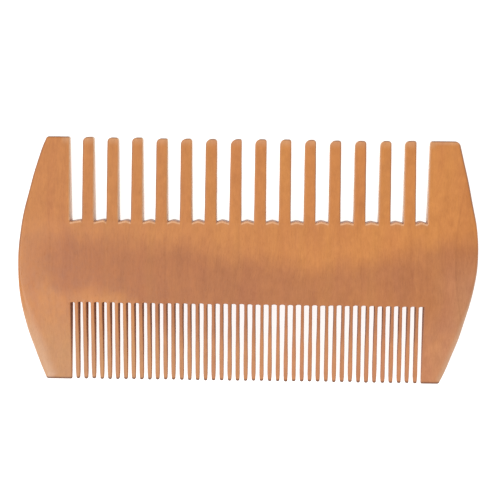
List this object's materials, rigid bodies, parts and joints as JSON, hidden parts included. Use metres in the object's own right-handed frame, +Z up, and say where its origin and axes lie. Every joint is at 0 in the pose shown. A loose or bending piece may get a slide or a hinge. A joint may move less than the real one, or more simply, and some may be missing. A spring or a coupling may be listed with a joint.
{
  "type": "beard comb",
  "caption": "Flat two-sided wooden beard comb with bowed ends: wide coarse teeth along one edge, close fine teeth along the other.",
  "frame": {"origin": "middle of the comb: half way along its length, between the two rows of tips and through its thickness", "axes": "+X along the comb, +Y from the fine teeth to the coarse teeth, +Z up through the thickness; the comb lies flat on its back face"},
  "size_m": [0.1, 0.0534, 0.0048],
  "materials": {
    "wood": "smooth oiled satin, grain along the teeth"
  },
  "bodies": {
    "root": {"spine": "wood", "left_guard": "wood", "right_guard": "wood", "coarse_tooth_01": "wood", "coarse_tooth_02": "wood", "coarse_tooth_03": "wood", "coarse_tooth_04": "wood", "coarse_tooth_05": "wood", "coarse_tooth_06": "wood", "coarse_tooth_07": "wood", "coarse_tooth_08": "wood", "coarse_tooth_09": "wood", "coarse_tooth_10": "wood", "coarse_tooth_11": "wood", "coarse_tooth_12": "wood", "coarse_tooth_13": "wood", "coarse_tooth_14": "wood", "fine_tooth_01": "wood", "fine_tooth_02": "wood", "fine_tooth_03": "wood", "fine_tooth_04": "wood", "fine_tooth_05": "wood", "fine_tooth_06": "wood", "fine_tooth_07": "wood", "fine_tooth_08": "wood", "fine_tooth_09": "wood", "fine_tooth_10": "wood", "fine_tooth_11": "wood", "fine_tooth_12": "wood", "fine_tooth_13": "wood", "fine_tooth_14": "wood", "fine_tooth_15": "wood", "fine_tooth_16": "wood", "fine_tooth_17": "wood", "fine_tooth_18": "wood", "fine_tooth_19": "wood", "fine_tooth_20": "wood", "fine_tooth_21": "wood", "fine_tooth_22": "wood", "fine_tooth_23": "wood", "fine_tooth_24": "wood", "fine_tooth_25": "wood", "fine_tooth_26": "wood", "fine_tooth_27": "wood", "fine_tooth_28": "wood", "fine_tooth_29": "wood", "fine_tooth_30": "wood", "fine_tooth_31": "wood", "fine_tooth_32": "wood", "fine_tooth_33": "wood", "fine_tooth_34": "wood", "fine_tooth_35": "wood", "fine_tooth_36": "wood", "fine_tooth_37": "wood", "fine_tooth_38": "wood", "fine_tooth_39": "wood", "fine_tooth_40": "wood", "fine_tooth_41": "wood", "fine_tooth_42": "wood", "fine_tooth_43": "wood"}
  },
  "joints": []
}
